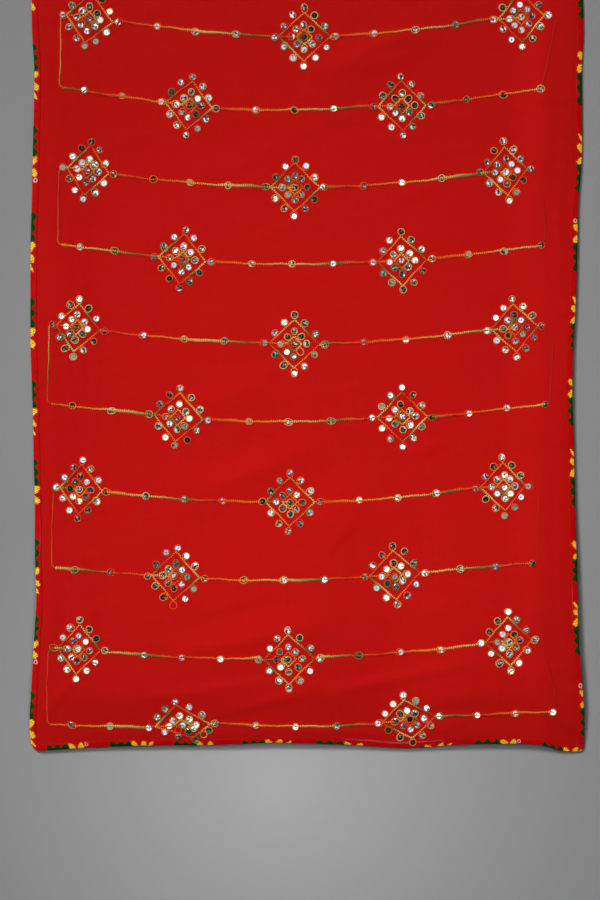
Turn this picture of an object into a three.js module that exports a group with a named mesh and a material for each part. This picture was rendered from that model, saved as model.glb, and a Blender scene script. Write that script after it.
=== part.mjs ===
// An embroidered dupatta lying face up on a flat surface: a long veil cloth with a narrow
// folded binding on each of its four edges. X runs across it, Y along it, Z up, in millimetres.
import * as THREE from 'three';

// Driving dimensions
const WIDTH = 926.6;
const LENGTH = 2340;
const CLOTH_WALL = 1.2;
const TAPE_WALL = 1.0;
const SEAM_GAP = 0.3;
const TAPE_COVER = 10;
const CORNER_RADIUS = 14;
const CORNER_SOFTENING = 0.3;

// The panel's cut edge lies inside the fold of the binding by one gap and one tape
const FOLD = SEAM_GAP + TAPE_WALL;
const PANEL_WIDTH = WIDTH - 2 * FOLD;
const PANEL_LENGTH = LENGTH - 2 * FOLD;
const TAPE_INNER = CLOTH_WALL / 2 + SEAM_GAP;
const TAPE_OUTER = TAPE_INNER + TAPE_WALL;

// At its bound edges the cloth lies on the tape below it, and inside them on the surface
const EDGE_LIFT = TAPE_OUTER - CLOTH_WALL / 2;
const EDGE_LIFT_FROM = 12;
const EDGE_LIFT_TO = 45;

// How far the side edges wander in from the full width, by the distance from the lower end
const SIDE_INSETS = [
  { along: 0, left: 6.5, right: 0 },
  { along: 16, left: 1.4, right: 0.2 },
  { along: 53, left: 0, right: 0.5 },
  { along: 87, left: 2.2, right: 1.7 },
  { along: 154, left: 6, right: 7.4 },
  { along: 187, left: 7.9, right: 10 },
  { along: 254, left: 11.7, right: 11.7 },
  { along: 321, left: 9.5, right: 13 },
  { along: 421, left: 8.4, right: 15.9 },
  { along: 488, left: 6.4, right: 17 },
  { along: 589, left: 4.2, right: 20 },
  { along: 672, left: 1, right: 18.7 },
  { along: 756, left: 0.7, right: 13.7 },
  { along: 848, left: 1, right: 11.2 },
  { along: 923, left: 3.2, right: 9.5 },
  { along: 990, left: 4.5, right: 3.7 },
  { along: 1074, left: 6.5, right: 3.3 },
  { along: 1140, left: 7.4, right: 3.7 },
  { along: 1207, left: 3.3, right: 0.5 },
  { along: 1300, left: 3, right: 4 },
  { along: 1440, left: 8, right: 9 },
  { along: 1600, left: 6, right: 12 },
  { along: 1780, left: 2, right: 5 },
  { along: 1930, left: 7, right: 6 },
  { along: 2080, left: 9, right: 10 },
  { along: 2200, left: 3, right: 4 },
  { along: LENGTH, left: 2, right: 1 },
];

// How far the end hems wander in from the full length, by the distance from the middle
const END_INSETS = [
  { across: -463, lower: 1.4, upper: 1 },
  { across: -413, lower: 4.4, upper: 0 },
  { across: -363, lower: 7.5, upper: 3 },
  { across: -313, lower: 9.7, upper: 7 },
  { across: -229, lower: 11.7, upper: 9 },
  { across: -179, lower: 11.4, upper: 6 },
  { across: -112, lower: 13.9, upper: 5 },
  { across: -62, lower: 16, upper: 8 },
  { across: -12, lower: 14.7, upper: 11 },
  { across: 55, lower: 13, upper: 10 },
  { across: 105, lower: 9.7, upper: 7 },
  { across: 156, lower: 6.4, upper: 8 },
  { across: 206, lower: 8.5, upper: 11 },
  { across: 239, lower: 11.7, upper: 9 },
  { across: 306, lower: 13.9, upper: 4 },
  { across: 390, lower: 11.7, upper: 2 },
  { across: 423, lower: 2.2, upper: 1 },
  { across: 463, lower: 0, upper: 2 },
];
const END_INSET_REACH = 160;

// Long swells beside the edges, where air stays under the cloth. A swell climbs from the edge
// to its crest and runs out at its end, with the height scaled along the edge by a table.
const LOWER_SWELL = { height: 20, crest: 104, end: 540 };
const UPPER_SWELL = { height: 9, crest: 62, end: 230 };
const LEFT_SWELL = { height: 4, crest: 46, end: 125 };
const RIGHT_SWELL = { height: 7, crest: 52, end: 125 };
const END_SWELL_SHARES = [
  { across: -463, lower: 0.45, upper: 0.5 },
  { across: -360, lower: 0.85, upper: 0.9 },
  { across: -229, lower: 1, upper: 1.1 },
  { across: -62, lower: 1.15, upper: 0.8 },
  { across: 55, lower: 1, upper: 0.9 },
  { across: 156, lower: 0.75, upper: 1.15 },
  { across: 270, lower: 1.05, upper: 1 },
  { across: 380, lower: 0.9, upper: 0.8 },
  { across: 463, lower: 0.4, upper: 0.5 },
];
const SIDE_SWELL_SHARES = [
  { along: 0, left: 0.2, right: 0.3 },
  { along: 250, left: 0.9, right: 0.8 },
  { along: 520, left: 0.6, right: 1.1 },
  { along: 800, left: 1.1, right: 0.8 },
  { along: 1120, left: 0.7, right: 1.1 },
  { along: 1450, left: 1, right: 0.6 },
  { along: 1760, left: 0.5, right: 1 },
  { along: 2060, left: 0.9, right: 0.7 },
  { along: LENGTH, left: 0.2, right: 0.3 },
];

// The edges lift off the surface where they are drawn in
const END_LIFT_PER_INSET = 0.45;
const END_LIFT_REACH = 70;
const SIDE_LIFT_PER_INSET = 0.25;
const SIDE_LIFT_REACH = 60;

// Broad soft ridges in the cloth's middle, each between two points. A point gives the place
// across from the middle and along from the lower end.
const SOFT_RIDGES = [
  { from: [-250, 150], to: [70, 225], height: 3, halfWidth: 55 },
  { from: [-230, 415], to: [40, 514], height: 3, halfWidth: 48 },
  { from: [0, 355], to: [120, 445], height: 2.4, halfWidth: 50 },
  { from: [-190, 578], to: [-40, 614], height: 2.4, halfWidth: 46 },
  { from: [-10, 1110], to: [220, 1212], height: 3, halfWidth: 52 },
  { from: [-220, 1400], to: [60, 1472], height: 2.6, halfWidth: 55 },
  { from: [20, 1710], to: [280, 1768], height: 3, halfWidth: 52 },
  { from: [-260, 1970], to: [-30, 2022], height: 2.4, halfWidth: 50 },
];

// Lines of the mesh, as distances in from the panel's cut edges
const CORNER_ZONE = 20;
const SIDE_LINES = [0, 5, 10, CORNER_ZONE, 34, 54, 76, 102];
const LOWER_LINES = [0, 5, 10, CORNER_ZONE, 32, 46, 62, 80, 102, 130, 165, 205, 250, 296];
const UPPER_LINES = [0, 5, 10, CORNER_ZONE, 40, 66, 100, 145, 200];
const MIDDLE_CELLS_ACROSS = 18;
const MIDDLE_CELLS_ALONG = 38;
const CORNER_STEPS = [0, 0.25, 0.5, 0.75];

// Half of the mitre's gap, measured along an edge
const MITRE = SEAM_GAP / Math.SQRT2;

// The binding's section: the distance in from the panel's cut edge, and the height from the
// middle of the cloth's wall
const BINDING_SECTION = [
  new THREE.Vector2(TAPE_COVER, TAPE_OUTER),
  new THREE.Vector2(-0.4, TAPE_OUTER),
  new THREE.Vector2(-FOLD, 0.4 * TAPE_OUTER),
  new THREE.Vector2(-FOLD, -0.4 * TAPE_OUTER),
  new THREE.Vector2(-0.4, -TAPE_OUTER),
  new THREE.Vector2(TAPE_COVER, -TAPE_OUTER),
  new THREE.Vector2(TAPE_COVER, -TAPE_INNER),
  new THREE.Vector2(-SEAM_GAP, -TAPE_INNER),
  new THREE.Vector2(-SEAM_GAP, TAPE_INNER),
  new THREE.Vector2(TAPE_COVER, TAPE_INNER),
];

// A smooth curve through a table's rows, read at one place
function readTable(rows, placeKey, valueKey, place) {
  const last = rows.length - 1;
  const at = THREE.MathUtils.clamp(place, rows[0][placeKey], rows[last][placeKey]);
  let i = 0;
  while (i < last - 1 && at > rows[i + 1][placeKey]) i += 1;
  const slope = (k) => {
    const before = rows[Math.max(k - 1, 0)];
    const after = rows[Math.min(k + 1, last)];
    return (after[valueKey] - before[valueKey]) / (after[placeKey] - before[placeKey]);
  };
  const start = rows[i];
  const end = rows[i + 1];
  const span = end[placeKey] - start[placeKey];
  const t = (at - start[placeKey]) / span;
  const startPull = (2 * t ** 3 - 3 * t ** 2 + 1) * start[valueKey];
  const endPull = (3 * t ** 2 - 2 * t ** 3) * end[valueKey];
  const slopePull = (t ** 3 - 2 * t ** 2 + t) * slope(i) + (t ** 3 - t ** 2) * slope(i + 1);
  return startPull + endPull + span * slopePull;
}

// 1 at an edge, falling smoothly to 0 at the reach
function fadeOut(distance, reach) {
  return 1 - THREE.MathUtils.smoothstep(distance, 0, reach);
}

// A side view of one swell: 0 at the edge, 1 at the crest, 0 again at the end
function swellProfile(distance, swell) {
  if (distance <= 0 || distance >= swell.end) return 0;
  if (distance < swell.crest) return Math.sin((Math.PI / 2) * (distance / swell.crest));
  return 0.5 + 0.5 * Math.cos((Math.PI * (distance - swell.crest)) / (swell.end - swell.crest));
}

// One ridge's height, which runs out smoothly to its sides and to its ends
function ridgeHeight(u, fromLower, ridge) {
  const start = new THREE.Vector2(...ridge.from);
  const run = new THREE.Vector2(...ridge.to).sub(start);
  const offset = new THREE.Vector2(u, fromLower).sub(start);
  const along = offset.dot(run) / run.lengthSq();
  const across = offset.cross(run) / run.length() / ridge.halfWidth;
  if (along <= 0 || along >= 1 || Math.abs(across) >= 1) return 0;
  return ridge.height * (4 * along * (1 - along)) * (1 - across ** 2) ** 2;
}

// The height of the middle of the cloth's wall, over the laid-out rectangle
function clothHeight(u, v) {
  const fromLower = LENGTH / 2 + v;
  const fromUpper = LENGTH / 2 - v;
  const fromLeft = WIDTH / 2 + u;
  const fromRight = WIDTH / 2 - u;
  const settled = [fromLower, fromUpper, fromLeft, fromRight].reduce(
    (share, distance) => share * THREE.MathUtils.smoothstep(distance, EDGE_LIFT_FROM, EDGE_LIFT_TO), 1);
  let height = CLOTH_WALL / 2 + EDGE_LIFT * (1 - settled);

  const lowerShare = readTable(END_SWELL_SHARES, 'across', 'lower', u);
  const upperShare = readTable(END_SWELL_SHARES, 'across', 'upper', u);
  const leftShare = readTable(SIDE_SWELL_SHARES, 'along', 'left', fromLower);
  const rightShare = readTable(SIDE_SWELL_SHARES, 'along', 'right', fromLower);
  height += LOWER_SWELL.height * lowerShare * swellProfile(fromLower, LOWER_SWELL);
  height += UPPER_SWELL.height * upperShare * swellProfile(fromUpper, UPPER_SWELL);
  height += LEFT_SWELL.height * leftShare * swellProfile(fromLeft, LEFT_SWELL);
  height += RIGHT_SWELL.height * rightShare * swellProfile(fromRight, RIGHT_SWELL);

  const endLift = (distance) => END_LIFT_PER_INSET * fadeOut(distance, END_LIFT_REACH);
  const sideLift = (distance) => SIDE_LIFT_PER_INSET * fadeOut(distance, SIDE_LIFT_REACH);
  height += endLift(fromLower) * readTable(END_INSETS, 'across', 'lower', u);
  height += endLift(fromUpper) * readTable(END_INSETS, 'across', 'upper', u);
  height += sideLift(fromLeft) * readTable(SIDE_INSETS, 'along', 'left', fromLower);
  height += sideLift(fromRight) * readTable(SIDE_INSETS, 'along', 'right', fromLower);

  return SOFT_RIDGES.reduce((sum, ridge) => sum + ridgeHeight(u, fromLower, ridge), height);
}

// The place on the surface of a point of the laid-out rectangle, with soft corners and
// wandering edges
function clothPlan(u, v) {
  const p = (Math.abs(u) - (WIDTH / 2 - CORNER_RADIUS)) / CORNER_RADIUS;
  const q = (Math.abs(v) - (LENGTH / 2 - CORNER_RADIUS)) / CORNER_RADIUS;
  let x = u;
  let y = v;
  if (p > 0 && q > 0) {
    const pullX = 1 - Math.sqrt(1 - CORNER_SOFTENING * q * q);
    const pullY = 1 - Math.sqrt(1 - CORNER_SOFTENING * p * p);
    x -= Math.sign(u) * CORNER_RADIUS * p * pullX;
    y -= Math.sign(v) * CORNER_RADIUS * q * pullY;
  }
  const fromLower = LENGTH / 2 + v;
  const rightward = 0.5 + u / WIDTH;
  x += readTable(SIDE_INSETS, 'along', 'left', fromLower) * (1 - rightward);
  x -= readTable(SIDE_INSETS, 'along', 'right', fromLower) * rightward;
  y += readTable(END_INSETS, 'across', 'lower', u) * fadeOut(fromLower, END_INSET_REACH);
  y -= readTable(END_INSETS, 'across', 'upper', u) * fadeOut(LENGTH - fromLower, END_INSET_REACH);
  return new THREE.Vector3(x, y, clothHeight(u, v));
}

// A point at a height from the middle of the cloth's wall, square to the cloth there
function clothPoint(u, v, offset) {
  const reach = 1;
  const acrossRun = clothPlan(u + reach, v).sub(clothPlan(u - reach, v));
  const alongRun = clothPlan(u, v + reach).sub(clothPlan(u, v - reach));
  const normal = acrossRun.cross(alongRun).normalize();
  return clothPlan(u, v).addScaledVector(normal, offset);
}

// One closed mesh from its points and triangles, turned so that its faces point out
function closedMesh(name, points, triangles, material) {
  let volume = 0;
  for (const [a, b, c] of triangles) {
    volume += points[a].dot(points[b].clone().cross(points[c]));
  }
  const turned = volume < 0 ? triangles.map(([a, b, c]) => [a, c, b]) : triangles;
  const geometry = new THREE.BufferGeometry().setFromPoints(points);
  geometry.setIndex(turned.flat());
  geometry.computeVertexNormals();
  const mesh = new THREE.Mesh(geometry, material);
  mesh.name = name;
  return mesh;
}

function twoTriangles(a, b, c, d) {
  return [[a, b, c], [a, c, d]];
}

// Mesh lines over one length: close together at both edges and even between them
function meshLines(length, startLines, endLines, middleCells) {
  const start = startLines[startLines.length - 1];
  const end = length - endLines[endLines.length - 1];
  const lines = [...startLines];
  for (let i = 1; i < middleCells; i += 1) lines.push(start + ((end - start) * i) / middleCells);
  for (const line of [...endLines].reverse()) lines.push(length - line);
  return lines;
}

const ACROSS_LINES = meshLines(PANEL_WIDTH, SIDE_LINES, SIDE_LINES, MIDDLE_CELLS_ACROSS);
const ALONG_LINES = meshLines(PANEL_LENGTH, LOWER_LINES, UPPER_LINES, MIDDLE_CELLS_ALONG);

// The cloth itself: an upper and a lower face over the same lines, joined round the cut edge
function makePanel(material) {
  const columns = ACROSS_LINES.length;
  const rows = ALONG_LINES.length;
  const points = [];
  for (const offset of [CLOTH_WALL / 2, -CLOTH_WALL / 2]) {
    for (const along of ALONG_LINES) {
      for (const across of ACROSS_LINES) {
        points.push(clothPoint(across - PANEL_WIDTH / 2, along - PANEL_LENGTH / 2, offset));
      }
    }
  }
  const upper = (column, row) => row * columns + column;
  const lower = (column, row) => rows * columns + upper(column, row);
  const lastColumn = columns - 1;
  const lastRow = rows - 1;
  const triangles = [];
  const edgeWall = (from, to) => {
    triangles.push(...twoTriangles(upper(...from), lower(...from), lower(...to), upper(...to)));
  };
  for (let row = 0; row < lastRow; row += 1) {
    for (let column = 0; column < lastColumn; column += 1) {
      const corners = [[column, row], [column + 1, row], [column + 1, row + 1], [column, row + 1]];
      triangles.push(...twoTriangles(...corners.map((corner) => upper(...corner))));
      triangles.push(...twoTriangles(...corners.map((corner) => lower(...corner)).reverse()));
    }
    edgeWall([0, row + 1], [0, row]);
    edgeWall([lastColumn, row], [lastColumn, row + 1]);
  }
  for (let column = 0; column < lastColumn; column += 1) {
    edgeWall([column, 0], [column + 1, 0]);
    edgeWall([column + 1, lastRow], [column, lastRow]);
  }
  return closedMesh('panel', points, triangles, material);
}

// The stations of a binding, each a function from the distance in from the panel's cut edge to
// the distance along that edge. The first and last lie on the mitres.
function bindingStations(lines) {
  const length = lines[lines.length - 1];
  const corner = CORNER_STEPS.map(
    (step) => (inward) => (inward + MITRE) * (1 - step) + CORNER_ZONE * step);
  const straight = lines.filter((line) => line >= CORNER_ZONE && line <= length - CORNER_ZONE);
  return [
    ...corner,
    ...straight.map((line) => () => line),
    ...[...corner].reverse().map((station) => (inward) => length - station(inward)),
  ];
}

// One folded strip round one edge of the panel
function makeBinding(name, lines, toCloth, material) {
  const points = [];
  for (const station of bindingStations(lines)) {
    for (const { x: inward, y: offset } of BINDING_SECTION) {
      const [u, v] = toCloth(inward, station(inward));
      points.push(clothPoint(u, v, offset));
    }
  }
  const count = BINDING_SECTION.length;
  const triangles = [];
  for (let first = 0; first < points.length - count; first += count) {
    for (let i = 0; i < count; i += 1) {
      const next = (i + 1) % count;
      triangles.push(...twoTriangles(first + i, first + next, first + count + next, first + count + i));
    }
  }
  const lastStation = points.length - count;
  for (const [a, b, c] of THREE.ShapeUtils.triangulateShape(BINDING_SECTION, [])) {
    triangles.push([c, b, a], [lastStation + a, lastStation + b, lastStation + c]);
  }
  return closedMesh(name, points, triangles, material);
}

const clothMaterial = new THREE.MeshStandardMaterial({ color: 0xb31010, roughness: 0.8 });
const bindingMaterial = new THREE.MeshStandardMaterial({ color: 0xd70a0a, roughness: 0.7 });

// From the distance in from one edge and the distance along it to the place on the panel
const halfWidth = PANEL_WIDTH / 2;
const halfLength = PANEL_LENGTH / 2;
const onLeft = (inward, along) => [inward - halfWidth, along - halfLength];
const onRight = (inward, along) => [halfWidth - inward, along - halfLength];
const onLower = (inward, along) => [along - halfWidth, inward - halfLength];
const onUpper = (inward, along) => [along - halfWidth, halfLength - inward];

const dupatta = new THREE.Group();
dupatta.add(
  makePanel(clothMaterial),
  makeBinding('binding_left', ALONG_LINES, onLeft, bindingMaterial),
  makeBinding('binding_right', ALONG_LINES, onRight, bindingMaterial),
  makeBinding('binding_lower', ACROSS_LINES, onLower, bindingMaterial),
  makeBinding('binding_upper', ACROSS_LINES, onUpper, bindingMaterial),
);

export default dupatta;
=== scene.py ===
"""An embroidered dupatta lying flat: the veil cloth, its printed bindings, the thread work
and the mirrored discs. Arrays hold millimetres, and a mesh turns them into metres. A place on
the cloth is (across, along): across from its middle line, along from its lower end."""
import math

import bpy
import numpy as np
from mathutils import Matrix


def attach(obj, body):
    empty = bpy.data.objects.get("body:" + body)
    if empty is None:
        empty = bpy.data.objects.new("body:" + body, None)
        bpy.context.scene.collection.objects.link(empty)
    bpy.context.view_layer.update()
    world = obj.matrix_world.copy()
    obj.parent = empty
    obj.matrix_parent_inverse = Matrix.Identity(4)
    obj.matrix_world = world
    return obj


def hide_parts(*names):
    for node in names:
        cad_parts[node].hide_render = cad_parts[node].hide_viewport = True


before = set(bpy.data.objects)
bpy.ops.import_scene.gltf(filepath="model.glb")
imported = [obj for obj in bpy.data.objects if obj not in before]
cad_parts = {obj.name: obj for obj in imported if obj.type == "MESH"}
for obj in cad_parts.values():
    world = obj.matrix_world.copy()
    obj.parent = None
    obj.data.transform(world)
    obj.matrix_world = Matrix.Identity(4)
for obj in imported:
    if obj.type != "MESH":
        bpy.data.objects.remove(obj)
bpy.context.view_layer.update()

MM = 0.001
random = np.random.default_rng(11)


def table(columns, rows):
    """Named columns of numbers."""
    return dict(zip(columns.split(), np.array(rows, dtype=float).T))


# Driving dimensions of the cloth's form, as in the part's source
WIDTH = 926.6
LENGTH = 2340.0
CAD_WALL = 1.2
CAD_TAPE_OUTER = 1.9
FOLD = 1.3
CORNER_RADIUS = 14.0
CORNER_SOFTENING = 0.3
EDGE_LIFT = CAD_TAPE_OUTER - CAD_WALL / 2
EDGE_LIFT_FROM, EDGE_LIFT_TO = 12.0, 45.0
END_INSET_REACH = 160.0

SIDE_INSETS = table("along left right", [
    (0, 6.5, 0), (16, 1.4, 0.2), (53, 0, 0.5), (87, 2.2, 1.7), (154, 6, 7.4), (187, 7.9, 10),
    (254, 11.7, 11.7), (321, 9.5, 13), (421, 8.4, 15.9), (488, 6.4, 17), (589, 4.2, 20), (672, 1, 18.7),
    (756, 0.7, 13.7), (848, 1, 11.2), (923, 3.2, 9.5), (990, 4.5, 3.7), (1074, 6.5, 3.3),
    (1140, 7.4, 3.7), (1207, 3.3, 0.5), (1300, 3, 4), (1440, 8, 9), (1600, 6, 12),
    (1780, 2, 5), (1930, 7, 6), (2080, 9, 10), (2200, 3, 4), (LENGTH, 2, 1),
])
END_INSETS = table("across lower upper", [
    (-463, 1.4, 1), (-413, 4.4, 0), (-363, 7.5, 3), (-313, 9.7, 7), (-229, 11.7, 9),
    (-179, 11.4, 6), (-112, 13.9, 5), (-62, 16, 8), (-12, 14.7, 11), (55, 13, 10),
    (105, 9.7, 7), (156, 6.4, 8), (206, 8.5, 11), (239, 11.7, 9), (306, 13.9, 4),
    (390, 11.7, 2), (423, 2.2, 1), (463, 0, 2),
])
END_SWELL_SHARES = table("across lower upper", [
    (-463, 0.45, 0.5), (-360, 0.85, 0.9), (-229, 1, 1.1), (-62, 1.15, 0.8), (55, 1, 0.9),
    (156, 0.75, 1.15), (270, 1.05, 1), (380, 0.9, 0.8), (463, 0.4, 0.5),
])
SIDE_SWELL_SHARES = table("along left right", [
    (0, 0.2, 0.3), (250, 0.9, 0.8), (520, 0.6, 1.1), (800, 1.1, 0.8), (1120, 0.7, 1.1),
    (1450, 1, 0.6), (1760, 0.5, 1), (2060, 0.9, 0.7), (LENGTH, 0.2, 0.3),
])
SWELLS = {
    "lower": {"height": 20, "crest": 104, "end": 540}, "upper": {"height": 9, "crest": 62, "end": 230},
    "left": {"height": 4, "crest": 46, "end": 125}, "right": {"height": 7, "crest": 52, "end": 125},
}
# Where an edge is drawn in, the cloth beside it is lifted by a share of that inset
ENDS = {"insets": END_INSETS, "swell_shares": END_SWELL_SHARES, "lift": 0.45, "reach": 70.0}
SIDES = {"insets": SIDE_INSETS, "swell_shares": SIDE_SWELL_SHARES, "lift": 0.25, "reach": 60.0}
RIDGE_COLUMNS = "across0 along0 across1 along1 height half_width"
SOFT_RIDGES = table(RIDGE_COLUMNS, [
    (-250, 150, 70, 225, 3, 55), (-230, 415, 40, 514, 3, 48), (0, 355, 120, 445, 2.4, 50),
    (-190, 578, -40, 614, 2.4, 46), (-10, 1110, 220, 1212, 3, 52),
    (-220, 1400, 60, 1472, 2.6, 55), (20, 1710, 280, 1768, 3, 52),
    (-260, 1970, -30, 2022, 2.4, 50),
])

# The photograph's scale. Its pixels name only places on the cloth.
MM_PER_PIXEL = 1.6727
PHOTO_MIDDLE_X = 307.0
PHOTO_LOWEST_Y = 751.8
PHOTO_CENTRE = (300.0, 450.0)
PHOTO_HEIGHT = 900


def from_photo(x_px, y_px):
    """The place (across, along) of a point of the photograph."""
    return (x_px - PHOTO_MIDDLE_X) * MM_PER_PIXEL, (PHOTO_LOWEST_Y - y_px) * MM_PER_PIXEL


# Fine creases, each from one pixel of the photograph to another, with its height and half
# width in millimetres before they are sharpened
PHOTO_CREASES = table("x0 y0 x1 y1 height half_width", [
    (318, 99, 405, 83, 1.5, 11), (222, 164, 300, 153, 1.0, 10), (262, 72, 418, 58, 1.2, 12),
    (335, 62, 428, 27, 1.6, 12), (198, 402, 268, 386, 1.3, 11), (344, 398, 382, 378, 1.2, 10),
    (198, 493, 310, 452, 1.5, 13), (408, 458, 462, 438, 1.3, 11), (312, 566, 366, 514, 1.4, 12),
    (192, 612, 272, 593, 1.3, 11), (150, 658, 340, 622, 1.8, 13), (412, 618, 468, 602, 1.2, 11),
    (120, 704, 290, 678, 1.6, 13), (192, 724, 338, 688, 1.5, 12), (322, 694, 488, 660, 2.2, 18),
    (380, 736, 470, 728, 1.6, 10), (300, 738, 395, 734, 1.4, 9), (225, 60, 275, 118, 0.9, 12),
    (55, 170, 57, 570, 1.1, 9), (68, 200, 64, 540, 0.9, 9), (84, 190, 80, 430, 0.8, 10),
    (95, 300, 90, 575, 0.7, 10), (549, -40, 551, 360, 1.1, 12), (551, 330, 547, 705, 1.0, 11),
    (566, 60, 564, 420, 0.9, 9), (536, 702, 580, 735, 3.4, 12), (74, 676, 44, 716, 2.0, 11),
])
CREASES_HEIGHTENED, CREASES_NARROWED = 1.1, 0.8
# Faint creases all over, most of them across the cloth, and ripples along its margins. Each
# range is drawn from evenly, and a turn in degrees or a lean by its mean and spread.
CREASES = {"count": 170, "across": (-430, 430), "along": (40, LENGTH - 30), "turn": (9, 13),
           "half_length": (30, 140), "height": (0.15, 0.75), "half_width": (9, 17)}
RIPPLES = {"count": 26, "from_middle": (375, 440), "along": (200, LENGTH - 150), "lean": (0, 5),
           "half_length": (90, 260), "height": (0.3, 1.0), "half_width": (9, 14)}

# The pieces in the picture, finer than their solids
CLOTH_WALL = 0.6
CLOTH_CELL = 8.4
CLOTH_EDGE_LINES = (0.0, 3.0, 6.5, 10.0, 16.0)
SEARCH_STEPS = 4
TAPE_COVER = 10.0
TAPE_CLEARANCE = 0.06
TAPE_WALL = 0.5
TAPE_CELL = 4.0
MITRE = 0.15
CORNER_ZONE = 20.0
CORNER_STEPS = (0.0, 0.25, 0.5, 0.75)


# The cloth's form

def read_table(rows, column, place):
    """A smooth curve through one column of a table, read at places in its first column."""
    places, values = next(iter(rows.values())), rows[column]
    before = np.maximum(np.arange(len(places)) - 1, 0)
    after = np.minimum(np.arange(len(places)) + 1, len(places) - 1)
    slopes = (values[after] - values[before]) / (places[after] - places[before])
    at = np.clip(place, places[0], places[-1])
    i = np.clip(np.searchsorted(places, at, side="right") - 1, 0, len(places) - 2)
    span = places[i + 1] - places[i]
    t = (at - places[i]) / span
    start = (2 * t**3 - 3 * t**2 + 1) * values[i] + (t**3 - 2 * t**2 + t) * span * slopes[i]
    end = (3 * t**2 - 2 * t**3) * values[i + 1] + (t**3 - t**2) * span * slopes[i + 1]
    return start + end


def smoothstep(value, low, high):
    t = np.clip((value - low) / (high - low), 0, 1)
    return t * t * (3 - 2 * t)


def fade_out(distance, reach):
    return 1 - smoothstep(distance, 0, reach)


def waves(place, rows, seed=1.0):
    """A sum of sine waves, each with its height, its length over two pi and its start, which
    goes with the seed."""
    return sum(height * np.sin(place / length + start * seed) for height, length, start in rows)


def unit(vectors):
    return vectors / np.linalg.norm(vectors, axis=-1, keepdims=True)


def in_surface(vectors, normals):
    """What is left of vectors once their part along the normals is taken out."""
    return vectors - normals * (vectors * normals).sum(axis=-1, keepdims=True)


def swell_profile(distance, swell):
    """A side view of one swell: 0 at the edge, 1 at the crest, 0 again at the end."""
    climb = np.sin(np.pi / 2 * distance / swell["crest"])
    run_out = 0.5 + 0.5 * np.cos(np.pi * (distance - swell["crest"]) / (swell["end"] - swell["crest"]))
    profile = np.where(distance < swell["crest"], climb, run_out)
    return np.where((distance > 0) & (distance < swell["end"]), profile, 0)


def ridges_height(u, along, ridges):
    """The summed height of long ridges, which run out smoothly to their sides and ends."""
    height = np.zeros_like(u)
    for x0, y0, x1, y1, ridge_height, half_width in zip(*ridges.values()):
        run = np.array((x1 - x0, y1 - y0))
        length = np.hypot(*run)
        place = ((u - x0) * run[0] + (along - y0) * run[1]) / length**2
        aside = ((u - x0) * run[1] - (along - y0) * run[0]) / length / half_width
        near = (place > 0) & (place < 1) & (np.abs(aside) < 1)
        height += np.where(near, ridge_height * 4 * place * (1 - place) * (1 - aside**2) ** 2, 0)
    return height


def photo_ridges():
    starts = from_photo(PHOTO_CREASES["x0"], PHOTO_CREASES["y0"])
    ends = from_photo(PHOTO_CREASES["x1"], PHOTO_CREASES["y1"])
    sizes = (PHOTO_CREASES["height"] * CREASES_HEIGHTENED, PHOTO_CREASES["half_width"] * CREASES_NARROWED)
    return dict(zip(RIDGE_COLUMNS.split(), (*starts, *ends, *sizes)))


def scattered_ridges():
    def draw(kind, key, law=random.uniform):
        return law(*kind[key], kind["count"])

    across, along = draw(CREASES, "across"), draw(CREASES, "along")
    turn = np.radians(draw(CREASES, "turn", random.normal))
    half, height, width = draw(CREASES, "half_length"), draw(CREASES, "height"), draw(CREASES, "half_width")
    side = np.where(random.random(RIPPLES["count"]) < 0.5, -1, 1)
    across = np.concatenate([across, side * draw(RIPPLES, "from_middle")])
    along = np.concatenate([along, draw(RIPPLES, "along")])
    ripple_half, lean = draw(RIPPLES, "half_length"), draw(RIPPLES, "lean", random.normal)
    half_across = np.concatenate([half * np.cos(turn), lean])
    half_along = np.concatenate([half * np.sin(turn), ripple_half])
    return {
        "across0": across - half_across, "along0": along - half_along,
        "across1": across + half_across, "along1": along + half_along,
        "height": np.concatenate([height, draw(RIPPLES, "height")]),
        "half_width": np.concatenate([width, draw(RIPPLES, "half_width")]),
    }


ALL_RIDGES = [SOFT_RIDGES, photo_ridges(), scattered_ridges()]


def cloth_height(u, along):
    """The height of the middle of the cloth's wall: the solid's form and the fine creases."""
    edges = [("lower", along, u, ENDS), ("upper", LENGTH - along, u, ENDS),
             ("left", WIDTH / 2 + u, along, SIDES), ("right", WIDTH / 2 - u, along, SIDES)]
    settled = np.ones_like(u)
    hems = np.zeros_like(u)
    for side, distance, place, kind in edges:
        settled *= smoothstep(distance, EDGE_LIFT_FROM, EDGE_LIFT_TO)
        height = SWELLS[side]["height"] * read_table(kind["swell_shares"], side, place)
        hems += height * swell_profile(distance, SWELLS[side])
        hems += kind["lift"] * read_table(kind["insets"], side, place) * fade_out(distance, kind["reach"])
    ridges = sum(ridges_height(u, along, group) for group in ALL_RIDGES)
    return CAD_WALL / 2 + EDGE_LIFT * (1 - settled) + hems + ridges


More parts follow.
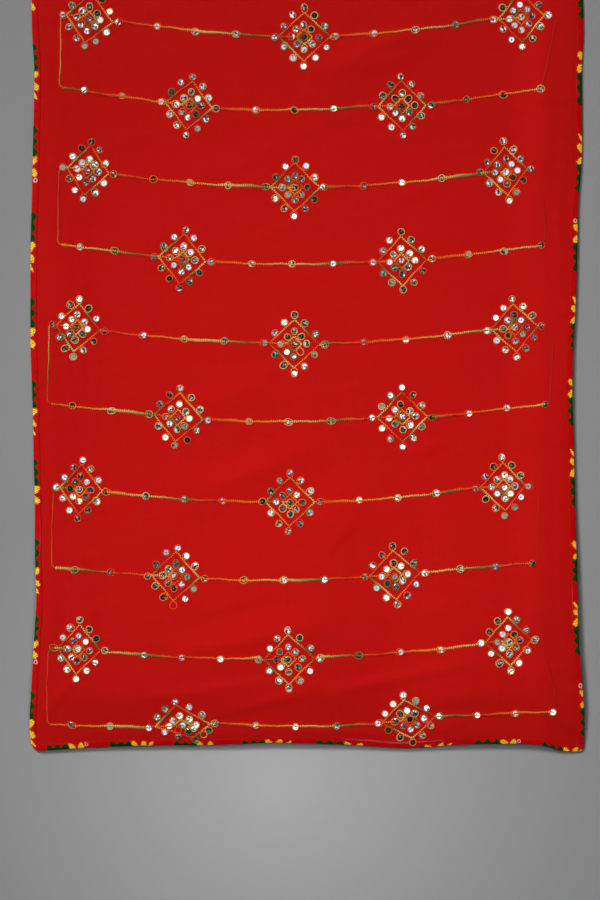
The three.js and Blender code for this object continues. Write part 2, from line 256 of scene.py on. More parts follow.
def cloth_plan(u, along):
    """Where the points of the laid-out rectangle lie, with soft corners and wandering edges."""
    v = along - LENGTH / 2
    p = np.maximum((np.abs(u) - (WIDTH / 2 - CORNER_RADIUS)) / CORNER_RADIUS, 0)
    q = np.maximum((np.abs(v) - (LENGTH / 2 - CORNER_RADIUS)) / CORNER_RADIUS, 0)
    x = u - np.sign(u) * CORNER_RADIUS * p * (1 - np.sqrt(1 - CORNER_SOFTENING * q**2))
    y = v - np.sign(v) * CORNER_RADIUS * q * (1 - np.sqrt(1 - CORNER_SOFTENING * p**2))
    rightward = 0.5 + u / WIDTH
    x += read_table(SIDE_INSETS, "left", along) * (1 - rightward)
    x -= read_table(SIDE_INSETS, "right", along) * rightward
    y += read_table(END_INSETS, "lower", u) * fade_out(along, END_INSET_REACH)
    y -= read_table(END_INSETS, "upper", u) * fade_out(LENGTH - along, END_INSET_REACH)
    return np.stack([x, y, cloth_height(u, along)], axis=-1)


def spread(length, edge_lines, cell):
    """Mesh lines over one length: given ones at both edges and even ones between."""
    start, end = edge_lines[-1], length - edge_lines[-1]
    middle = np.linspace(start, end, round((end - start) / cell) + 1)
    return np.concatenate([edge_lines[:-1], middle, length - np.array(edge_lines[-2::-1])])


class ClothSurface:
    """The cloth's mesh as a surface that the other pieces are laid on."""

    def __init__(self):
        self.us = spread(WIDTH - 2 * FOLD, CLOTH_EDGE_LINES, CLOTH_CELL) - (WIDTH / 2 - FOLD)
        self.alongs = spread(LENGTH - 2 * FOLD, CLOTH_EDGE_LINES, CLOTH_CELL) + FOLD
        self.points = cloth_plan(*np.meshgrid(self.us, self.alongs))
        run_u = np.gradient(self.points, self.us, axis=1)
        run_along = np.gradient(self.points, self.alongs, axis=0)
        self.normals = unit(np.cross(run_u, run_along))

    def at(self, u, along):
        """Points and normals of the wall's middle, also a little past the cut edge."""
        i = np.clip(np.searchsorted(self.us, u, side="right") - 1, 0, len(self.us) - 2)
        j = np.clip(np.searchsorted(self.alongs, along, side="right") - 1, 0, len(self.alongs) - 2)
        s = ((u - self.us[i]) / (self.us[i + 1] - self.us[i]))[..., None]
        t = ((along - self.alongs[j]) / (self.alongs[j + 1] - self.alongs[j]))[..., None]
        blended = []
        for grid in (self.points, self.normals):
            low = grid[j, i] * (1 - s) + grid[j, i + 1] * s
            high = grid[j + 1, i] * (1 - s) + grid[j + 1, i + 1] * s
            blended.append(low * (1 - t) + high * t)
        return blended[0], unit(blended[1])

    def under(self, x, y):
        """Points and normals straight under the places (x, y) of the row frame."""
        u, along = np.array(x, dtype=float), np.array(y, dtype=float) + LENGTH / 2
        for _ in range(SEARCH_STEPS):
            points, _ = self.at(u, along)
            u += x - points[..., 0]
            along += y - points[..., 1]
        return self.at(u, along)


cloth = ClothSurface()


# Meshes from arrays

def add_object(name, data):
    thing = bpy.data.objects.new(name, data)
    bpy.context.collection.objects.link(thing)
    return thing


def add_mesh(name, points, quads, material, uv=None, smooth=True, replaces=None):
    """A piece from points in millimetres and faces. uv holds a pair for each point, or fewer
    that spread over the points' last axes."""
    uv_shape = (*np.shape(points)[:-1], 2)
    points, faces = np.reshape(points, (-1, 3)), np.reshape(quads, (-1, 4))
    mesh = bpy.data.meshes.new(name)
    mesh.vertices.add(len(points))
    mesh.vertices.foreach_set("co", (points.astype(np.float32) * MM).ravel())
    mesh.loops.add(faces.size)
    mesh.loops.foreach_set("vertex_index", faces.astype(np.int32).ravel())
    mesh.polygons.add(len(faces))
    mesh.polygons.foreach_set("loop_start", np.arange(0, faces.size, 4, dtype=np.int32))
    mesh.polygons.foreach_set("use_smooth", np.full(len(faces), smooth))
    mesh.update(calc_edges=True)
    if uv is not None:
        pairs = np.broadcast_to(uv, uv_shape).reshape(-1, 2).astype(np.float32)
        mesh.uv_layers.new(name="UVMap").data.foreach_set("uv", pairs[faces.ravel()].ravel())
    mesh.materials.append(material)
    piece = add_object(name, mesh)
    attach(piece, "root")
    if replaces:
        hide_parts(replaces)
    return piece


def ring_quads(rings, sides, closed_rings=False):
    """Faces of a tube with that many rings of that many points, its sides closed round."""
    last = rings if closed_rings else rings - 1
    ring, side = np.meshgrid(np.arange(last), np.arange(sides), indexing="ij")
    here, there = ring * sides, (ring + 1) % rings * sides
    after = (side + 1) % sides
    return np.stack([here + side, here + after, there + after, there + side], axis=-1).reshape(-1, 4)


def tubes_quads(points, closed_rings=False):
    """Faces of many like tubes, whose points are given by tube, ring and side."""
    count, rings, sides = points.shape[:3]
    return ring_quads(rings, sides, closed_rings) + (np.arange(count) * rings * sides)[:, None, None]


def tube_points(middle, aside, normals, half_width, half_height, sides):
    """Rings of a flattened tube. The half width and height fit the middle's points."""
    rings = []
    for angle in np.arange(sides) / sides * 2 * np.pi:
        rings.append(middle + aside * (half_width * math.cos(angle))[..., None]
                     + normals * (half_height * math.sin(angle))[..., None])
    return np.stack(rings, axis=-2)


# Materials

def srgb(red, green, blue):
    """A linear colour from the photograph's levels, 0 to 255, with no light taken out."""
    levels = np.array((red, green, blue)) / 255
    return tuple(np.where(levels <= 0.04045, levels / 12.92, ((levels + 0.055) / 1.055) ** 2.4))


def with_alpha(colour):
    return colour if isinstance(colour, Value) else (*colour, 1)


class Value:
    """A node's output. Sums, products and the like of it are nodes too."""

    def __init__(self, nodes, socket):
        self.nodes, self.socket = nodes, socket

    def math(self, operation, *others, clamp=False):
        return self.nodes.math(operation, self, *others, clamp=clamp)

    def __add__(self, other):
        return self.math("ADD", other)

    def __sub__(self, other):
        return self.math("SUBTRACT", other)

    def __rsub__(self, other):
        return self.nodes.math("SUBTRACT", other, self)

    def __mul__(self, other):
        return self.math("MULTIPLY", other)

    def __truediv__(self, other):
        return self.math("DIVIDE", other)

    def __pow__(self, other):
        return self.math("POWER", other)

    def __abs__(self):
        return self.math("ABSOLUTE")

    def between(self, low, high):
        return self.math("GREATER_THAN", low) * self.math("LESS_THAN", high)

    def past(self, start, steepness):
        """0 up to the start, then rising to 1."""
        return (self - start).math("MULTIPLY", steepness, clamp=True)


class Nodes:
    """Short calls for building the nodes of a material or of the world."""

    def __init__(self, owner):
        owner.use_nodes = True
        self.owner, self.tree = owner, owner.node_tree

    def put(self, socket, value):
        if isinstance(value, Value):
            self.tree.links.new(value.socket, socket)
        else:
            socket.default_value = value

    def node(self, kind, output, settings=None, **inputs):
        """A new node's output. An input's name has _ in place of a space."""
        node = self.tree.nodes.new(kind)
        for key, value in (settings or {}).items():
            setattr(node, key, value)
        for key, value in inputs.items():
            self.put(node.inputs[key.replace("_", " ")], value)
        return Value(self, node.outputs[output])

    def math(self, operation, *values, clamp=False):
        result = self.node("ShaderNodeMath", "Value", {"operation": operation, "use_clamp": clamp})
        for socket, value in zip(result.socket.node.inputs, values):
            self.put(socket, value)
        return result

    def mix(self, share, first, second):
        return self.node("ShaderNodeMix", "Result", {"data_type": "RGBA"}, Factor=share,
                         A=with_alpha(first), B=with_alpha(second))

    def ramp(self, place, stops):
        """Colours for a place from 0 to 1. Each stop is its position and its colour."""
        colour = self.node("ShaderNodeValToRGB", "Color", Fac=place)
        points = colour.socket.node.color_ramp.elements
        while len(points) < len(stops):
            points.new(0.5)
        for point, (position, stop_colour) in zip(points, stops):
            point.position = position
            point.color = with_alpha(stop_colour)
        return colour

    def split(self, vector):
        """The three parts of a vector."""
        first = self.node("ShaderNodeSeparateXYZ", "X", Vector=vector)
        return [Value(self, socket) for socket in first.socket.node.outputs]

    def uv(self):
        return self.split(self.node("ShaderNodeUVMap", "UV"))[:2]

    def noise(self, scale, detail=2.0, stretch=None, place=None):
        place = place or self.node("ShaderNodeTexCoord", "Object")
        if stretch:
            place = self.node("ShaderNodeMapping", "Vector", Vector=place, Scale=stretch)
        return self.node("ShaderNodeTexNoise", "Fac", Vector=place, Scale=scale, Detail=detail)

    def waver(self, scale, reach, detail=2.0):
        """Noise from minus its reach to plus its reach."""
        return self.noise(scale, detail) * (2 * reach) - reach

    def bump(self, height, distance, strength, **under):
        return self.node("ShaderNodeBump", "Normal", Height=height, Distance=distance, Strength=strength,
                         **under)

    def finish(self, base, normal=None, roughness=0.5, specular=0.1, metallic=0.0):
        """Sets the shader's inputs and gives the material."""
        inputs = {"Base Color": base, "Roughness": roughness, "Specular IOR Level": specular,
                  "Metallic": metallic}
        if normal:
            inputs["Normal"] = normal
        for key, value in inputs.items():
            self.put(self.tree.nodes["Principled BSDF"].inputs[key], value)
        return self.owner


def new_material(name):
    return Nodes(bpy.data.materials.new(name))


# The scale of a wave texture that gives one thread to a millimetre
WAVE_SCALE = 159.0


def weave(nodes, threads_per_mm, depth, strength, **under):
    """Warp and weft as two crossed waves, a little uneven."""
    place = nodes.node("ShaderNodeTexCoord", "Object")
    warp, weft = [
        nodes.node("ShaderNodeTexWave", "Fac", {"bands_direction": direction}, Vector=place,
                   Scale=threads_per_mm * WAVE_SCALE, Distortion=1.5, Detail=1.0)
        for direction in ("X", "Y")]
    return nodes.bump(warp * weft, depth, strength, **under)


# How much the dye follows streaks across the cloth, streaks along it, and the crepe's grain
STREAKS_SHARE, UPRIGHT_SHARE, GRAIN_SHARE = 0.35, 0.25, 0.4


def cloth_material():
    """Deep red crepe: a fine crinkled weave with soft streaks of lighter and darker dye."""
    nodes = new_material("crepe_red")
    streaks = nodes.noise(9.0, 3.0, stretch=(1.0, 6.0, 1.0))
    upright = nodes.noise(11.0, 3.0, stretch=(9.0, 1.0, 1.0))
    shade = streaks * STREAKS_SHARE + upright * UPRIGHT_SHARE + nodes.noise(420.0) * GRAIN_SHARE
    base = nodes.mix(shade, (0.415, 0.0034, 0.0025), (0.541, 0.006, 0.0045))
    crinkle = nodes.bump(nodes.noise(700.0, 3.0), 0.00025, 0.5)
    return nodes.finish(base, weave(nodes, 1.6, 0.00012, 0.35, Normal=crinkle), roughness=0.85, specular=0.06)


# The printed repeat along a binding, in millimetres of the strip: three leaves, two petals
# that lean apart, a tail and a rosette. A lobe is its middle and its lean.
PRINT_REPEAT = 135.0
LEAVES = [(8.0, 0.0), (24.5, 0.1), (41.0, 0.2)]
LEAF_HALF, LEAF_REACH = 7.0, 7.9
PETALS = [(55.5, -0.45), (73.0, 0.45)]
PETAL_HALF, PETAL_REACH = 7.4, 8.2
TAIL = [(87.0, 1.2)]
TAIL_HALF, TAIL_REACH = 4.6, 5.6
TAIL_EVERY = 2.0
ROSETTE_ALONG, ROSETTE_INWARD, ROSETTE_RADIUS = 86.0, 4.2, 4.0
ROSETTE_EVERY, ROSETTE_FIRST = 6.0, 2.0
ROSETTE_HEART = 0.55
LEAF_ROOT = 2.6
LOBE_TAPER, LOBE_ROUNDNESS = 2.2, 1.6
# How far the print strays along and inward, drifts slowly inward, and is ragged at its outlines
STRAY_ALONG, STRAY_INWARD = 2.5, 2.0
PRINT_DRIFT = 5.0
RAGGEDNESS = 0.75
SMALLER_PETALS = 0.45
PRINT_SHARPNESS, ROSETTE_SHARPNESS, RIM_SHARPNESS = 7.0, 5.0, 3.6
# The part that rolls under: where its painted shade and its painted highlight line start, how steeply, how
# strongly
TURNED_PAINTED_SHADE, TURNED_PAINTED_SHADE_SHARE = (10.2, 0.8), 0.55
TURNED_PAINTED_HIGHLIGHT, TURNED_PAINTED_HIGHLIGHT_SHARE = (12.2, 0.9), 0.7
TURNED_STRAY = 0.4


def lobes(along, inward, places, half, reach):
    """How far inside the nearest of some lobes a point is: 1 at its middle, 0 at its outline."""
    limit = 1.0 - (abs(inward) / reach) ** LOBE_TAPER
    best = None
    for centre, lean in places:
        inside = limit - (abs(along - (inward * lean + centre)) / half) ** LOBE_ROUNDNESS
        best = best.math("MAXIMUM", inside) if best else inside
    return best


def binding_material():
    """Bright red cotton, printed with leaves, petals and a rosette in a repeat."""
    nodes = new_material("binding_print")
    phase, print_place = nodes.uv()
    stray = nodes.waver(330.0, STRAY_INWARD)
    along = phase.math("FRACT") * PRINT_REPEAT + nodes.waver(240.0, STRAY_ALONG)
    inward = print_place + stray + nodes.waver(5.0, PRINT_DRIFT, 1.0)
    number = phase.math("FLOOR")

    ragged = nodes.waver(620.0, RAGGEDNESS)
    smaller = nodes.noise(55.0, 1.0).past(0.42, 3.0) * SMALLER_PETALS
    petals = lobes(along, inward, PETALS, PETAL_HALF, PETAL_REACH) - smaller - ragged
    tail = lobes(along, inward, TAIL, TAIL_HALF, TAIL_REACH)
    petals = petals.math("MAXIMUM", tail * number.math("FLOORED_MODULO", TAIL_EVERY))
    leaves = lobes(along, inward, LEAVES, LEAF_HALF, LEAF_REACH) - ragged
    root = (LEAF_ROOT - abs(inward)) / LEAF_ROOT
    in_leaves = along.between(LEAVES[0][0] - LEAF_HALF, LEAVES[-1][0] + LEAF_HALF)
    leaves = leaves.math("MAXIMUM", root * in_leaves)
    radius = (abs(along - ROSETTE_ALONG) ** 2.0 + abs(inward - ROSETTE_INWARD) ** 2.0).math("SQRT")
    rosette = 1.0 - radius / ROSETTE_RADIUS
    chosen = number.math("FLOORED_MODULO", ROSETTE_EVERY).math("COMPARE", ROSETTE_FIRST, 0.5)

    ground = nodes.mix(nodes.noise(60.0), (0.41, 0.001, 0.001), (0.62, 0.002, 0.002))
    green = nodes.mix(nodes.noise(300.0), (0.001, 0.010, 0.001), (0.004, 0.078, 0.004))
    yellow = nodes.mix(nodes.noise(420.0, 1.0).past(0.55, 9.0), (1.0, 0.70, 0.006), (1.0, 0.80, 0.22))
    veins = (along * 1.7 + inward * 0.9).math("SINE").past(0.2, 2.0)
    yellow = nodes.mix(veins, yellow, (0.70, 0.22, 0.003))
    yellow = nodes.mix(petals.past(0, RIM_SHARPNESS), (0.66, 0.12, 0.003), yellow)
    pink = nodes.mix(rosette.math("GREATER_THAN", ROSETTE_HEART), (0.80, 0.42, 0.40), (0.16, 0.004, 0.01))

    colour = nodes.mix(leaves.past(0, PRINT_SHARPNESS), ground, green)
    colour = nodes.mix(petals.past(0, PRINT_SHARPNESS), colour, yellow)
    colour = nodes.mix(rosette.past(0, ROSETTE_SHARPNESS) * chosen, colour, pink)
    # The part that rolls under gets painted shade, with a broken painted highlight line along its turn
    turned = print_place + stray * TURNED_STRAY
    colour = nodes.mix(turned.past(*TURNED_PAINTED_SHADE) * TURNED_PAINTED_SHADE_SHARE, colour, (0.24, 0.001, 0.006))
    painted_highlight = turned.past(*TURNED_PAINTED_HIGHLIGHT) * (nodes.noise(110.0) * 1.6 - 0.2)
    colour = nodes.mix(painted_highlight * TURNED_PAINTED_HIGHLIGHT_SHARE, colour, (0.56, 0.09, 0.10))
    return nodes.finish(colour, weave(nodes, 2.2, 0.0001, 0.4), roughness=0.8, specular=0.06)


# The shaded thread's colours over one run, from the red that is lost on the cloth and back
THREAD_COLOURS = [
    (0.00, srgb(196, 24, 8)), (0.02, srgb(236, 60, 10)), (0.18, srgb(255, 106, 14)),
    (0.40, srgb(252, 146, 38)), (0.55, srgb(238, 192, 104)), (0.66, srgb(216, 186, 94)),
    (0.76, srgb(156, 148, 64)), (0.84, srgb(116, 106, 40)), (0.90, srgb(200, 106, 26)),
    (0.96, srgb(236, 66, 12)),
]
# How much its strands darken it, and how much painted shade falls in the gaps of its stitches
STRANDS_SHADE, GAP_SHADE = 0.12, 0.85


def thread_material():
    """Shaded silky thread. U runs once through the colours, V paints shade into the gaps of a stitch."""
    nodes = new_material("thread_shaded")
    phase, gap = nodes.uv()
    strands = nodes.noise(1500.0)
    shaded = nodes.ramp(phase.math("FRACT"), THREAD_COLOURS)
    shade = strands * STRANDS_SHADE + gap * GAP_SHADE
    colour = nodes.mix(shade, shaded, (0.035, 0.012, 0.003))
    return nodes.finish(colour, nodes.bump(strands, 0.0003, 0.6), roughness=0.5, specular=0.25)


def stitch_material():
    """Red sewing thread, which shows paler in places: a painted highlight."""
    nodes = new_material("thread_stitching")
    colour = nodes.mix(nodes.noise(7.0).past(0.58, 8.0), (0.36, 0.002, 0.002), (0.62, 0.10, 0.11))
    return nodes.finish(colour, nodes.bump(nodes.noise(2500.0), 0.0001, 0.5), roughness=0.6, specular=0.2)


# A disc's U is its tone, from clear mirror through lavender grey to dark green; the grey and green tones are
# painted reflection
DISC_TONES = [(0.0, srgb(250, 249, 248)), (0.5, srgb(205, 203, 222)), (1.0, srgb(120, 132, 118))]


def sequin_material():
    nodes = new_material("sequin_mirror")
    tone, _ = nodes.uv()
    uneven = nodes.bump(nodes.noise(150.0, 1.0), 0.0012, 0.18)
    return nodes.finish(nodes.ramp(tone, DISC_TONES), uneven, roughness=0.07, specular=0.5, metallic=1.0)


# The cloth

def make_cloth(material):
    rows, columns = cloth.points.shape[:2]
    half_wall = cloth.normals * CLOTH_WALL / 2
    index = np.arange(rows * columns).reshape(rows, columns)
    face = np.stack([index[:-1, :-1], index[:-1, 1:], index[1:, 1:], index[1:, :-1]], axis=-1).reshape(-1, 4)
    rim = np.concatenate([index[0, :-1], index[:-1, -1], index[-1, :0:-1], index[:0:-1, 0]])
    after = np.roll(rim, -1)
    under = index.size
    wall = np.stack([rim, rim + under, after + under, after], axis=-1)
    quads = np.concatenate([face, face[:, ::-1] + under, wall])
    return add_mesh("cloth_panel", [cloth.points + half_wall, cloth.points - half_wall], quads, material,
                    replaces="panel")


# The bindings

TAPE_INNER = CLOTH_WALL / 2 + TAPE_CLEARANCE
TAPE_OUTER = TAPE_INNER + TAPE_WALL
TAPE_SECTION = table("inward offset print_place", [
    (TAPE_COVER, TAPE_OUTER - 0.15, 10), (TAPE_COVER - 0.5, TAPE_OUTER, 9.5),
    (6, TAPE_OUTER + 0.05, 6), (3, TAPE_OUTER + 0.06, 3), (0.4, TAPE_OUTER, 0.4),
    (-0.45, 0.72 * TAPE_OUTER, -0.3), (-0.85, 0.25 * TAPE_OUTER, -0.9),
    (-0.85, -0.25 * TAPE_OUTER, -1.3), (-0.45, -0.72 * TAPE_OUTER, -1.8), (0.4, -TAPE_OUTER, -2.6),
    (5, -TAPE_OUTER, -7.2), (TAPE_COVER, -TAPE_OUTER + 0.1, -12),
    (TAPE_COVER, -TAPE_INNER, -12), (0, -TAPE_INNER, -12), (-0.3, 0, -12), (0, TAPE_INNER, -12),
    (TAPE_COVER, TAPE_INNER, 10),
])
TAPE_TOP_POINTS = 5
# From here inward the strip's top puckers between stitches and its inner edge wanders
TAPE_SHOULDER = 6
TAPE_WANDER = [(0.35, 11.0, 0.0), (0.25, 4.7, 1.0)]
PUCKER_LENGTH, PUCKER_HEIGHT = 7.3, 0.22
PUCKER_UNEVENNESS = [(0.8, 23.0, 0.0)]

# Where the middle of each pair of yellow petals lies, as pixels of the photograph
LEFT_PETALS_Y = (6, 85, 171, 257, 342, 422, 498, 581, 652, 733)
RIGHT_PETALS_Y = (62, 155, 234, 315, 388, 467, 551, 616, 698)
LOWER_PETALS_X = (74.5, 137, 203, 272, 352, 434, 508, 570)
PETALS_PHASE = (PETALS[0][0] + PETALS[1][0]) / 2 / PRINT_REPEAT
SIDE_SPACING, END_SPACING = PRINT_REPEAT, 109.0
REPEATS_BEYOND = 20


def petal_phase(places, measured, spacing):
    """The repeat's phase along an edge, so that the petals fall where they were measured.
    Past the measured ones the repeat goes on at its usual spacing."""
    known = np.sort(np.array(measured, dtype=float))
    steps = spacing * np.arange(1, REPEATS_BEYOND + 1)
    knots = np.concatenate([known[0] - steps[::-1], known, known[-1] + steps])
    return np.interp(places, knots, np.arange(len(knots))) + PETALS_PHASE


# Each binding: how (inward, along its edge) becomes (u, along), the edge's length, the phase of
# its print, which runs once round the cloth: down, to the right, up, to the left, and how far
# it rolls under at the most
LEFT_KNOTS = [from_photo(0, y)[1] for y in LEFT_PETALS_Y]
RIGHT_KNOTS = [from_photo(0, y)[1] for y in RIGHT_PETALS_Y]
LOWER_KNOTS = [from_photo(x, 0)[0] for x in LOWER_PETALS_X]
ROLLED_MIDDLE, _ = from_photo(393, 745)
ROLLED_REACH = 95.0
PANEL_WIDTH = WIDTH - 2 * FOLD
PANEL_LENGTH = LENGTH - 2 * FOLD
BINDINGS = {
    "left": dict(
        length=PANEL_LENGTH, rolled=0.0,
        place=lambda inward, run: (inward - PANEL_WIDTH / 2, run + FOLD),
        phase=lambda u, along: -petal_phase(along, LEFT_KNOTS, SIDE_SPACING)),
    "right": dict(
        length=PANEL_LENGTH, rolled=0.0,
        place=lambda inward, run: (PANEL_WIDTH / 2 - inward, run + FOLD),
        phase=lambda u, along: petal_phase(along, RIGHT_KNOTS, SIDE_SPACING)),
    "lower": dict(
        length=PANEL_WIDTH, rolled=6.0,
        place=lambda inward, run: (run - PANEL_WIDTH / 2, inward + FOLD),
        phase=lambda u, along: petal_phase(u, LOWER_KNOTS, END_SPACING)),
    "upper": dict(
        length=PANEL_WIDTH, rolled=0.0,
        place=lambda inward, run: (run - PANEL_WIDTH / 2, LENGTH - FOLD - inward),
        phase=lambda u, along: -petal_phase(u, LOWER_KNOTS, END_SPACING)),
}


def tape_stations(length, inward):
    """Places along an edge for each station and section point, mitred at both ends."""
    steps = np.array(CORNER_STEPS)[:, None]
    start = (inward[None, :] + MITRE) * (1 - steps) + CORNER_ZONE * steps
    middle = np.linspace(CORNER_ZONE, length - CORNER_ZONE, round((length - 2 * CORNER_ZONE) / TAPE_CELL) + 1)
    return np.concatenate([start, np.repeat(middle[:, None], len(inward), axis=1), length - start[::-1]])


def make_binding(side, facts, material):
    inward = TAPE_SECTION["inward"]
    run = tape_stations(facts["length"], inward)
    wander = waves(run, TAPE_WANDER) * smoothstep(inward, TAPE_SHOULDER, TAPE_COVER)
    upward = np.arange(len(inward)) < TAPE_TOP_POINTS
    pucker = 0.5 + 0.5 * np.sin(2 * np.pi * run / PUCKER_LENGTH + waves(run, PUCKER_UNEVENNESS))
    pucker = PUCKER_HEIGHT * pucker * smoothstep(inward, 0, TAPE_SHOULDER) * upward
    u, along = facts["place"](inward + wander, run)
    points, normals = cloth.at(u, along)
    points = points + normals * (TAPE_SECTION["offset"] + pucker)[..., None]
    rolled = facts["rolled"] * np.exp(-((u - ROLLED_MIDDLE) / ROLLED_REACH) ** 2)
    uv = np.stack([facts["phase"](u, along), TAPE_SECTION["print_place"] + rolled], axis=-1)
    quads = ring_quads(*run.shape)
    if side in ("left", "upper"):
        quads = quads[:, ::-1]
    return add_mesh(f"binding_{side}_strip", points, quads, material, uv,
                    replaces=f"binding_{side}")


STITCH_LENGTH, STITCH_PITCH, STITCH_INWARD = 2.6, 3.6, 8.4
STITCH_THICKNESS, STITCH_FLATNESS = 0.42, 1.3
# How high the stitches lie, as a share of the puckers
STITCH_SEAT = 0.8
STITCH_WANDER = [(0.25, 37.0, 0.0)]
STITCH_UNEVENNESS = 0.06
# Where the first stitch starts past the corner's
STITCH_MARGIN = STITCH_INWARD + 3
STITCH_SHAPE = table("place size", [(-1, 0.35), (-0.6, 1), (0.6, 1), (1, 0.35)])
STITCH_SIDES = 5


def make_stitching(material):
    """The machine stitches that hold the bindings down, each a short round-ended bar."""
    middles, runs, normals = [], [], []
    for facts in BINDINGS.values():
        starts = np.arange(STITCH_MARGIN, facts["length"] - STITCH_MARGIN, STITCH_PITCH)
        uneven = random.normal(0, STITCH_UNEVENNESS, len(starts))
        inward = STITCH_INWARD + waves(starts, STITCH_WANDER) + uneven
        first, normal = cloth.at(*facts["place"](inward, starts))
        second, _ = cloth.at(*facts["place"](inward, starts + STITCH_LENGTH))
        middles.append((first + second) / 2 + normal * (TAPE_OUTER + PUCKER_HEIGHT * STITCH_SEAT))
        runs.append((second - first) / 2)
        normals.append(normal)
    middles, runs, normals = (np.concatenate(rows)[:, None] for rows in (middles, runs, normals))
    aside = unit(np.cross(normals, runs))
    radius = STITCH_THICKNESS / 2 * STITCH_SHAPE["size"]
    points = tube_points(middles + runs * STITCH_SHAPE["place"][:, None], aside, normals,
                         radius * STITCH_FLATNESS, radius, STITCH_SIDES)
    return add_mesh("binding_stitches", points, tubes_quads(points), material)


# The embroidery's layout. A row holds three or two diamonds on one line of chain stitch, and
# each pair of rows is one closed loop. A diamond is given by the photograph's pixels of its
# left tip, centre and right tip.
DIAMOND = "left_x left_y centre_x centre_y right_x right_y"
HALF_HEIGHT = 29.3
ROW_PAIRS = [
    dict(
        upper=table(DIAMOND, [
            (63.1, 12.8, 88.7, 18.9, 117.6, 20.8), (274.4, 36.6, 304.3, 37.0, 335.0, 36.6),
            (494.1, 18.9, 520.9, 17.9, 548.2, 15.6)]),
        lower=table(DIAMOND, [
            (161.1, 102.4, 189.8, 105.6, 216.2, 109.3), (373.1, 106.2, 402.3, 106.1, 430.9, 104.6)]),
        corner=(60.0, 88.0), end=(540.7, 89.3), right_route=[(555, 23), (550, 51)]),
    dict(
        upper=table(DIAMOND, [
            (63.4, 167.7, 87.8, 170.9, 113.5, 174.4), (266.7, 186.9, 294.8, 187.5, 324.6, 187.5),
            (480.1, 173.5, 506.2, 171.3, 530.7, 169.6)]),
        lower=table(DIAMOND, [
            (153.4, 256.1, 182.4, 259.3, 210.6, 262.1), (372.8, 262.1, 401.9, 261.2, 431.6, 259.3)]),
        corner=(58.0, 244.6), end=(541.2, 245.9), right_route=[(543, 200), (545, 233)]),
    dict(
        upper=table(DIAMOND, [
            (53.3, 325.3, 76.9, 327.9, 103.7, 331.0), (265.3, 342.9, 294.4, 344.1, 323.7, 344.1),
            (487.6, 329.9, 514.8, 328.2, 541.2, 326.0)]),
        lower=table(DIAMOND, [
            (150.1, 414.0, 177.9, 417.2, 207.7, 420.0), (372.2, 418.8, 402.3, 417.2, 432.5, 417.5)]),
        corner=(48.0, 404.0), end=(543.8, 404.5), right_route=[(552, 344), (552, 366), (549, 400)]),
    dict(
        upper=table(DIAMOND, [
            (56.5, 488.0, 80.4, 489.3, 106.9, 491.8), (261.2, 502.0, 289.9, 502.0, 319.3, 502.7),
            (476.5, 487.8, 504.0, 486.7, 528.6, 485.2)]),
        lower=table(DIAMOND, [
            (148.3, 575.0, 175.4, 576.0, 204.2, 578.3), (364.8, 576.9, 394.5, 574.7, 423.9, 571.8)]),
        corner=(52.3, 567.1), end=(531.4, 562.9), right_route=[(538, 492), (537, 527), (536, 559)]),
    dict(
        upper=table(DIAMOND, [
            (55.5, 647.2, 79.3, 648.5, 105.6, 650.6), (259.7, 656.8, 288.6, 658.0, 319.6, 655.7),
            (480.1, 643.1, 508.0, 640.4, 534.3, 639.8)]),
        lower=table(DIAMOND, [
            (150.4, 726.3, 183.9, 724.2, 215.7, 722.1), (376.8, 723.3, 409.1, 718.7, 439.1, 715.3)]),
        corner=(47.8, 723.5), end=(551.8, 710.3), right_route=[(545, 660), (554, 690)],
        # The last row is squashed against the hem: half heights and the shift of both tips
        squashed=table("above below top_shift bottom_shift", [
            (24.3, 15.2, -6.6, 10.6), (24.6, 23.3, -3.5, 0.7)])),
]
LOST_DISCS = [(55.5, 647.2), (177.6, 727.3), (203.7, 735.3)]
LOST_WITHIN = 3
RANDOM_LOST_SHARE = 0.006
PAIR_PITCH = 155.0
PAIRS_ABOVE = 4
# The pairs past the photograph's top edge repeat the first ones in turn
PAIRS_REPEATED = 4
FLATTER_ABOVE = 0.6
LINE_DISCS_BETWEEN = 3
LINE_SAG = 2.4
LEFT_DISC_SHARES = (0.387, 0.76)
RIGHT_DISC_SHARES = (1 / 3, 2 / 3)

# Places in a diamond, as shares of its half width and half height
AXIS_DISCS = [(-1, 0), (1, 0), (0, 1), (0, -1), (0, 0), (0.43, 0), (-0.43, 0), (0, 0.43), (0, -0.43)]
CORNER_DISCS = [(0.68, 0.37), (0.37, 0.73), (0.25, 0.25)]
OUTLINE_REACH = 0.84
INNER_OUTLINE_REACH = 0.26
DISC_WANDER = 0.55
# How the thin side line turns into the rows, in pixels
CORNER_TURN = 4.0
TURN_AT_TOP, TURN_AT_SIDE, TURN_AT_CORNER = (-1.6, -1.0), 1.5, (1.2, -1.2)


def moved_pair(pair, rise):
    """A pair of rows moved up the cloth, flatter than the one it repeats."""
    def moved(y, level):
        return level + (y - level) * FLATTER_ABOVE - rise

    def flat_row(row):
        level = row["centre_y"].mean()
        return {**row, **{key: moved(row[key], level) for key in ("left_y", "centre_y", "right_y")}}

    level = pair["lower"]["centre_y"].mean()
    return dict(
        upper=flat_row(pair["upper"]), lower=flat_row(pair["lower"]),
        right_route=[(x, y - rise) for x, y in pair["right_route"]],
        **{key: (pair[key][0], moved(pair[key][1], level)) for key in ("corner", "end")})


def all_pairs():
    """The pairs that the photograph shows, and the ones past its top edge."""
    pairs = list(ROW_PAIRS)
    top_level = ROW_PAIRS[0]["upper"]["centre_y"].mean()
    for step in range(1, PAIRS_ABOVE + 1):
        model = ROW_PAIRS[step % PAIRS_REPEATED]
        rise = model["upper"]["centre_y"].mean() - top_level + PAIR_PITCH * step
        pairs.append(moved_pair(model, rise))
    return pairs


